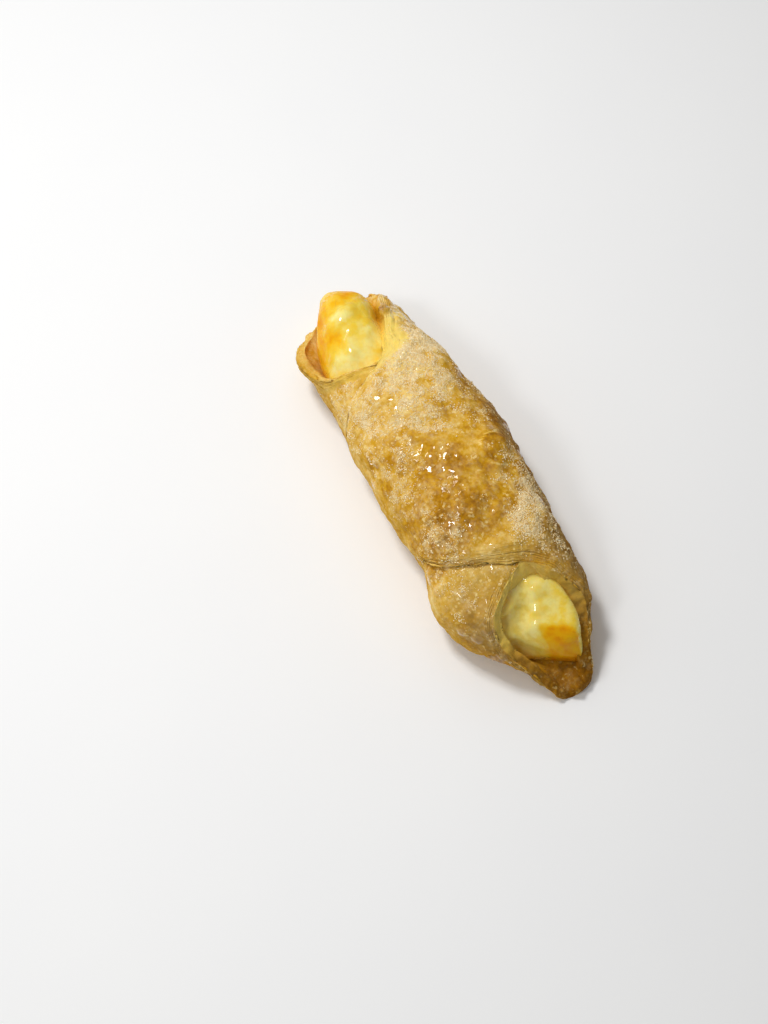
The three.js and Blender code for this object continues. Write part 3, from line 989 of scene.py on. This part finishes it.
def moisture(crust, far_arm, front_lip):
    """Where cheese has moistened the pastry: in the mouths, on the far arm and on the front lip."""
    near_lip = smoothstep(crust.x, *NEAR_LIP_START) * (1 - smoothstep(crust.x, *NEAR_LIP_END))
    near_lip = near_lip * lerp(NEAR_LIP_TOP, 1, smoothstep(crust.across_mouth, *NEAR_LIP_DEPTH))
    mouth = np.maximum(far_arm, NEAR_LIP_MOIST * near_lip) * ~crust.on_face
    beside_arm = 1 - smoothstep(crust.to_top + clouds(crust.points, RAGGED), *FAR_ARM_REACH)
    arm = far_arm * beside_arm * crust.on_face
    front = smoothstep(-crust.x, *FAR_ARM_START) * smoothstep(crust.y, *FRONT_LIP_SIDE)
    moist = np.maximum(np.maximum(mouth, arm), FRONT_LIP_MOIST * front * front_lip)
    return moist * (1 - patch_sum(crust.points, DRY_PATCHES))


def sugar_cover(crust, moist, film, front_lip):
    """Share of the crust that sugar covers."""
    uneven = 1 + clouds(crust.points, SUGAR_CLOUDS)
    sugar = crust.upward * (SUGAR_FILM + patch_sum(crust.points, SUGAR_PATCHES)) * uneven
    sugar = np.clip(sugar, 0, 1) * np.where(crust.on_face, 1, MOUTH_SUGAR)
    bare_lip = smoothstep(-crust.x, *BARE_LIP_START) * front_lip
    return sugar * (1 - moist) * (1 - bare_lip) * (1 - FILM_BARE * film)


def strewing(crust, sugar, dough):
    """How closely the grains of sugar lie, which is in clumps."""
    clumps = smoothstep(clouds(crust.points, CLUMPS), *CLUMP_RANGE)
    strewn = smoothstep(sugar, *STREWN_FROM) * lerp(BETWEEN_CLUMPS, 1, clumps)
    return strewn * (1 - DOUGH_BARE * dough)


def glaze_share(crust, glossy, film, sugar):
    """How much glaze shines on the crust."""
    uneven = GLAZE_UNEVEN * clouds(crust.points, GLAZE_CLOUDS)
    glaze = np.clip(GLAZE_SHARE * glossy + uneven, 0, 1) * (1 - SUGAR_DULLS * sugar)
    return np.maximum(glaze, film)


def build_pastry(random, material):
    """The crust as a piece; gives its points and triangles and how closely sugar lies on it."""
    crust = Crust()
    domes = raise_blisters(crust, random)
    glossy, film = lay_film(crust)
    film_edge = crust.top_blister(*FILM_EDGE, FILM_EDGE_SHARPNESS)
    drops = drop_glaze(crust, random, glossy)
    far_arm = far_arm_share(crust)
    wander = clouds(crust.points * WANDER_STRETCH, WANDER)
    beside_edge, edge_lines = edge_layers(crust, wander, far_arm)
    height = domes + drops + crust_unevenness(crust, film, wander)
    height = height + EDGE_LINE_DEPTH * edge_lines + film_edge
    height = height * smoothstep(crust.z, *FOOT)
    shaped = crust.points + crust.normals * height[:, None]
    shaped[:, 2] = np.maximum(shaped[:, 2], 0)

    from_lip = crust.to_lower + clouds(crust.points, RAGGED)
    front_lip = (1 - smoothstep(from_lip, *FRONT_LIP_REACH)) * crust.on_face
    dough = doughiness(crust)
    moist = moisture(crust, far_arm, front_lip)
    sugar = sugar_cover(crust, moist, film, front_lip)
    attributes = {
        "toast_and_painted_light": browning_and_painted_light(crust, dough, domes, film_edge, beside_edge, edge_lines),
        "sugar": sugar,
        "glaze": glaze_share(crust, glossy, film, sugar),
        "drops": smoothstep(drops, *GLAZE_DROP_SHINE),
        "moist": moist,
        "dough": dough,
    }
    piece = make_piece("pastry_crust", shaped, crust.triangles, attributes, material)
    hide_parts("pastry")
    return shaped, crust.triangles, strewing(crust, sugar, dough)


def cheese_mesh():
    """The log's points and triangles, and how far each point lies beside its ridge."""
    along = stations(CHEESE_STEPS_ALONG)[1:-1, None]
    rows = len(along)
    far = CHEESE_FAR * HALF
    near = CHEESE_NEAR * HALF
    angle = 2 * np.pi * np.arange(CHEESE_STEPS_ROUND)[None] / CHEESE_STEPS_ROUND
    ends = np.array([[far], [near]])
    x = np.concatenate([lerp(far, near, (along + 1) / 2), ends])
    place = x / HALF
    from_middle = np.where(x < 0, x / far, x / near)
    rounding = np.where(x < 0, FAR_ROUNDING, NEAR_ROUNDING)
    taper = np.clip(1 - from_middle ** (END_POWER * rounding), 0, 1) ** (1 / rounding)
    top = cheese_top(place) * HEIGHT
    base = cheese_base(place) * HEIGHT
    middle = lerp(base, top, cheese_middle(place))
    height = np.where(np.cos(angle) > 0, middle - base, top - middle)
    squareness = cheese_squareness(place)
    level = -rounded(np.cos(angle), squareness)
    upper = np.clip((level - RIDGE_FROM) / (1 - RIDGE_FROM), 0, 1) ** FLANK
    half = cheese_half_width(place) * WIDTH * (1 - cheese_ridge(place) * upper)
    aside = taper * (upper * ridge_shift(place) + half * rounded(np.sin(angle), squareness))
    rise = taper * height * level
    from_ridge = aside - taper * ridge_shift(place)
    near_slope = smoothstep(place, LEAN_FROM, CHEESE_NEAR) * (SKEW * from_ridge - LEAN * rise)
    far_slope = smoothstep(-place, FAR_SKEW_FROM, FAR_SKEW_TO) * FAR_SKEW * aside
    y = drift(place) + cheese_shift(place) + aside
    grid = np.stack([x + near_slope + far_slope, y, middle + rise], axis=-1)
    points = np.concatenate([grid[:rows].reshape(-1, 3), grid[rows:, 0]]) + SET_BACK
    triangles = closed_triangles(points, rows, CHEESE_STEPS_ROUND)
    return points, triangles, np.append(from_ridge[:rows].reshape(-1), (0, 0))


def cheese_drops(points, upward):
    """Height of the wet drops on the cheese."""
    drops = np.zeros(len(points))
    for x, y, radius, rise in CHEESE_DROPS:
        square = ((points[:, 0] - x) ** 2 + (points[:, 1] - y) ** 2) / radius ** 2
        drops = np.maximum(drops, rise * upward * np.clip(1 - square, 0, 1))
    return drops


def build_cheese(material):
    """The cheese as a piece, with the smear beside its near ridge and its browned end face."""
    points, triangles, beside_ridge = cheese_mesh()
    normals = point_normals(points, triangles)
    x = points[:, 0]
    upward = smoothstep(normals[:, 2], *CHEESE_UPWARD)
    drops = cheese_drops(points, upward)
    lumps = clouds(points, CHEESE_LUMPS) * lerp(1, CHEESE_CALM, smoothstep(x, *CHEESE_CALM_FROM))
    lumps = lumps + upward * patch_sum(points, CHEESE_DENTS) + drops

    ragged = clouds(points, CHEESE_RAGGED)
    smear_edge = lerp(*SMEAR_EDGES, np.clip((x - SMEAR_EDGE_FROM) / SMEAR_EDGE_LENGTH, 0, 1))
    beside_smear = beside_ridge + SMEAR_RAGGED * ragged - smear_edge
    smear = smoothstep(x, *SMEAR_START) * (1 - smoothstep(beside_smear, *SMEAR_SIDE))
    smeared = smear * (1 - smoothstep(beside_smear, *SMEAR_FADE))
    sideways = smoothstep(-normals[:, 2], *SMEAR_SIDEWAYS)
    on_ridge = smoothstep(x, *RIDGE_START) * smoothstep(beside_smear, *RIDGE_SIDE)
    raised = (SMEAR_RISE + SMEAR_SPREAD * sideways) * smeared + RIDGE_RISE * on_ridge
    raised = raised * smoothstep(normals[:, 2], *RAISED_UPWARD)
    shaped = points + normals * (lumps + raised)[:, None]

    facing = normals @ END_FACING + END_FACED_RAGGED * ragged
    on_end = smoothstep(beside_ridge + END_SIDE_RAGGED * ragged, *END_SIDE)
    on_end = on_end * smoothstep(facing, *END_FACED) * smoothstep(x, *END_FROM)
    # The cheese's browning, with its paler patches painted as light on the highlight band and the shaded
    # flanks.
    toast_and_painted_light = CHEESE_TOAST + clouds(points, CHEESE_CLOUDS) + patch_sum(points, CHEESE_TOAST_AND_LIGHT_PATCHES)
    toast_and_painted_light = toast_and_painted_light + END_TOAST * on_end + CHEESE_FAR_TOAST * smoothstep(-x, *CHEESE_FAR_FROM)
    attributes = {
        "toast_and_painted_light": np.clip(toast_and_painted_light, 0, 1),
        "smear": smear,
        # Where the smear is thin by the lip, in its shadow, a paler colour is painted as light.
        "thin_in_lip_shadow": smoothstep(-beside_smear, *SMEAR_THIN),
        "drops": smoothstep(drops, *CHEESE_DROP_SHINE),
    }
    piece = make_piece("cheese", shaped, triangles, attributes, material)
    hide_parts("cheese_filling")


def turn_matrices(turns):
    """Rotation matrices from unit quaternions."""
    w, x, y, z = turns.T
    rows = [
        [1 - 2 * (y * y + z * z), 2 * (x * y - w * z), 2 * (x * z + w * y)],
        [2 * (x * y + w * z), 1 - 2 * (x * x + z * z), 2 * (y * z - w * x)],
        [2 * (x * z - w * y), 2 * (y * z + w * x), 1 - 2 * (x * x + y * y)],
    ]
    return np.array(rows).transpose(2, 0, 1)


def build_sugar(random, points, triangles, density, material):
    """Grains of sugar strewn over the crust, joined in one mesh."""
    corners = points[triangles]
    normals = np.cross(corners[:, 1] - corners[:, 0], corners[:, 2] - corners[:, 0])
    areas = np.linalg.norm(normals, axis=1)
    weight = areas * density[triangles].mean(axis=1)
    chosen = random.choice(len(triangles), SUGAR_GRAINS, p=weight / weight.sum())
    a = np.sqrt(random.random(SUGAR_GRAINS))
    b = random.random(SUGAR_GRAINS)
    shares = np.stack([1 - a, a * (1 - b), a * b], axis=1)
    centres = (corners[chosen] * shares[..., None]).sum(axis=1)
    outward = normals[chosen] / areas[chosen, None]

    turns = random.normal(size=(SUGAR_GRAINS, 4))
    axes = turn_matrices(turns / np.linalg.norm(turns, axis=1, keepdims=True))
    sizes = random.uniform(*SUGAR_SIZE, (SUGAR_GRAINS, 1))
    sizes = sizes * random.uniform(*SUGAR_SIDES, (SUGAR_GRAINS, 3))
    cube = np.array([[i, j, k] for i in CUBE_ENDS for j in CUBE_ENDS for k in CUBE_ENDS])
    local = np.einsum("nij,ncj->nci", axes, cube[None] * sizes[:, None])
    raised = centres + outward * sizes.mean(axis=1, keepdims=True) * SUGAR_RISE
    grains = (local + raised[:, None]).reshape(-1, 3)
    grains[:, 2] = np.maximum(grains[:, 2], 0)
    first_corners = len(cube) * np.arange(SUGAR_GRAINS)
    faces = (first_corners[:, None, None] + np.array(CUBE_SIDES)[None]).reshape(-1, 4)
    tint = np.repeat(random.random(SUGAR_GRAINS), len(cube))
    make_piece("sugar_grains", grains, faces, {"tint": tint}, material, smooth=False)


def pastry_colour(nodes, granules):
    """Baked dough, dull where it is doughy, under sugar and moist cheese."""
    sugar = nodes.attribute("sugar")
    dough = nodes.attribute("dough")
    speckle = nodes.spread(nodes.noise(*SPECKLE_NOISE), *SPECKLE)
    speckle = nodes.math("MULTIPLY", speckle, nodes.spread(dough, *SPECKLE_ON_DOUGH))
    colour = nodes.ramp(nodes.math("ADD", nodes.attribute("toast_and_painted_light"), speckle), CRUST_COLOURS)
    colour = nodes.mix(nodes.math("MULTIPLY", dough, DOUGH_SHARE), colour, linear(DOUGH_COLOUR))

    crystals = nodes.spread(nodes.cells(CRYSTAL_CELLS), *CRYSTALS)
    crystal_patches = nodes.spread(nodes.noise(*CRYSTAL_NOISE), *CRYSTAL_PATCHES)
    crystals = nodes.math("MULTIPLY", crystals, crystal_patches)
    crystals = nodes.math("MULTIPLY", crystals, nodes.spread(sugar, *CRYSTALS_IN_SUGAR))
    colour = nodes.mix(crystals, colour, linear(CRYSTAL_COLOUR))

    frost = nodes.math("MULTIPLY", sugar, nodes.spread(nodes.noise(*FROST_NOISE), *FROST_PATCHES))
    frost = nodes.math("MULTIPLY", frost, granules)
    sparkle = nodes.spread(nodes.cells(SPARKLE_CELLS), *SPARKLE)
    colour = nodes.mix(frost, colour, nodes.mix(sparkle, *map(linear, FROST_COLOURS)))
    moist = nodes.math("MULTIPLY", nodes.attribute("moist"), MOIST_SHARE)
    return nodes.mix(moist, colour, linear(MOIST_COLOUR))


def pastry_material():
    nodes = Nodes("baked_pastry")
    granules = nodes.spread(nodes.noise(*GRANULE_NOISE), *GRANULES)
    nodes.set("Base Color", pastry_colour(nodes, granules))

    moist_shine = nodes.math("MULTIPLY", nodes.attribute("moist"), MOIST_SHINE)
    shine = nodes.math("MAXIMUM", nodes.attribute("glaze"), moist_shine)
    streaks = nodes.math("MAXIMUM", nodes.streaks(*WET_STREAKS), CRUST_LEAST_WET)
    wet = nodes.math("MAXIMUM", nodes.math("MULTIPLY", shine, streaks), nodes.attribute("drops"))
    nodes.set("Coat Weight", wet)
    nodes.set("Roughness", nodes.spread(wet, *CRUST_ROUGHNESS))

    grainy = nodes.bump(nodes.math("MULTIPLY", nodes.attribute("sugar"), granules), *GRANULE_BUMP)
    fine = nodes.bump(nodes.noise(*FINE_NOISE), *FINE_BUMP, grainy)
    nodes.set("Normal", nodes.bump(nodes.noise(*WAVE_NOISE), *WAVE_BUMP, fine))
    nodes.set("Coat Normal", nodes.bump(nodes.noise(*COAT_NOISE), *COAT_BUMP))
    nodes.finish(CRUST_FINISH)
    return nodes.material


def cheese_material():
    nodes = Nodes("baked_cheese")
    toast_and_painted_light = nodes.attribute("toast_and_painted_light")
    tint = nodes.spread(nodes.noise(*CHEESE_TINT_NOISE), *CHEESE_TINT)
    colour = nodes.ramp(nodes.math("ADD", toast_and_painted_light, tint), CHEESE_COLOURS)
    streaky = nodes.spread(nodes.noise(*SMEAR_NOISE), *SMEAR_STREAKS)
    smear_colour = nodes.mix(streaky, *map(linear, SMEAR_COLOURS))
    smear_colour = nodes.mix(nodes.attribute("thin_in_lip_shadow"), smear_colour, linear(SMEAR_THIN_COLOUR_AND_LIGHT))
    smear = nodes.math("MULTIPLY", nodes.attribute("smear"), SMEAR_SHARE)
    nodes.set("Base Color", nodes.mix(smear, colour, smear_colour))

    nodes.set("Roughness", nodes.spread(nodes.noise(*CHEESE_GLOSS_NOISE), *CHEESE_ROUGHNESS))
    nodes.set("Normal", nodes.bump(nodes.noise(*CHEESE_GRAIN_NOISE), *CHEESE_GRAIN_BUMP))
    streaks = nodes.math("MAXIMUM", nodes.streaks(*WET_STREAKS), CHEESE_LEAST_WET)
    wet = nodes.math("MULTIPLY", streaks, nodes.spread(toast_and_painted_light, *CHEESE_DRY))
    nodes.set("Coat Weight", nodes.math("MAXIMUM", wet, nodes.attribute("drops")))
    nodes.set("Coat Normal", nodes.bump(nodes.noise(*COAT_NOISE), *COAT_BUMP))
    nodes.finish(CHEESE_FINISH)
    return nodes.material


def sugar_material():
    nodes = Nodes("sugar")
    tint = nodes.attribute("tint")
    nodes.set("Base Color", nodes.mix(tint, *map(linear, GRAIN_COLOURS)))
    nodes.set("Roughness", nodes.spread(tint, *GRAIN_ROUGHNESS))
    return nodes.material


def floor_material():
    nodes = Nodes("pale_floor")
    nodes.set("Base Color", nodes.mix(nodes.noise(*FLOOR_NOISE), *map(linear, FLOOR_COLOURS)))
    nodes.set("Roughness", FLOOR_ROUGHNESS)
    return nodes.material


def build_floor():
    """A square floor under the part."""
    ends = (-FLOOR_REACH, FLOOR_REACH)
    corners = [(x, y, 0) for x in ends for y in ends]
    mesh = bpy.data.meshes.new("floor")
    mesh.from_pydata(corners, [], [(0, 2, 3, 1)])
    mesh.materials.append(floor_material())
    floor = bpy.data.objects.new("floor", mesh)
    bpy.context.scene.collection.objects.link(floor)


def build_camera():
    """The photograph's view, with the target at its pixel in a picture of 768 by 1024."""
    azimuth = math.radians(VIEW_AZIMUTH)
    elevation = math.radians(VIEW_ELEVATION)
    back = Vector((
        math.sin(azimuth) * math.cos(elevation),
        -math.cos(azimuth) * math.cos(elevation),
        math.sin(elevation),
    ))
    data = bpy.data.cameras.new("camera")
    data.sensor_width = SENSOR_WIDTH
    data.lens = PIXELS_PER_MILLIMETRE * VIEW_DISTANCE * data.sensor_width / PICTURE[1]
    data.shift_x = (PICTURE[0] / 2 - TARGET_PIXEL[0]) / PICTURE[1]
    data.shift_y = (TARGET_PIXEL[1] - PICTURE[1] / 2) / PICTURE[1]
    camera = bpy.data.objects.new("camera", data)
    camera.location = (Vector(TARGET) + back * VIEW_DISTANCE) * MILLIMETRE
    camera.rotation_euler = (-back).to_track_quat("-Z", "Y").to_euler()
    bpy.context.scene.collection.objects.link(camera)
    bpy.context.scene.camera = camera


def build_lights():
    """Lamps that look at the origin, and an even dim surround."""
    for name, place, size, power in LIGHTS:
        data = bpy.data.lights.new(name, "AREA")
        data.size = size
        data.energy = power
        light = bpy.data.objects.new(name, data)
        light.location = place
        light.rotation_euler = (-Vector(place)).to_track_quat("-Z", "Y").to_euler()
        bpy.context.scene.collection.objects.link(light)
    world = bpy.data.worlds.new("studio")
    world.use_nodes = True
    surround = world.node_tree.nodes["Background"]
    surround.inputs["Color"].default_value = WORLD_COLOUR
    surround.inputs["Strength"].default_value = WORLD_STRENGTH
    bpy.context.scene.world = world
    bpy.context.scene.view_settings.view_transform = "Standard"


build_camera()
build_lights()
build_floor()
random = np.random.default_rng(SEED)
crust_points, crust_triangles, strewn_sugar = build_pastry(random, pastry_material())
build_cheese(cheese_material())
build_sugar(random, crust_points, crust_triangles, strewn_sugar, sugar_material())
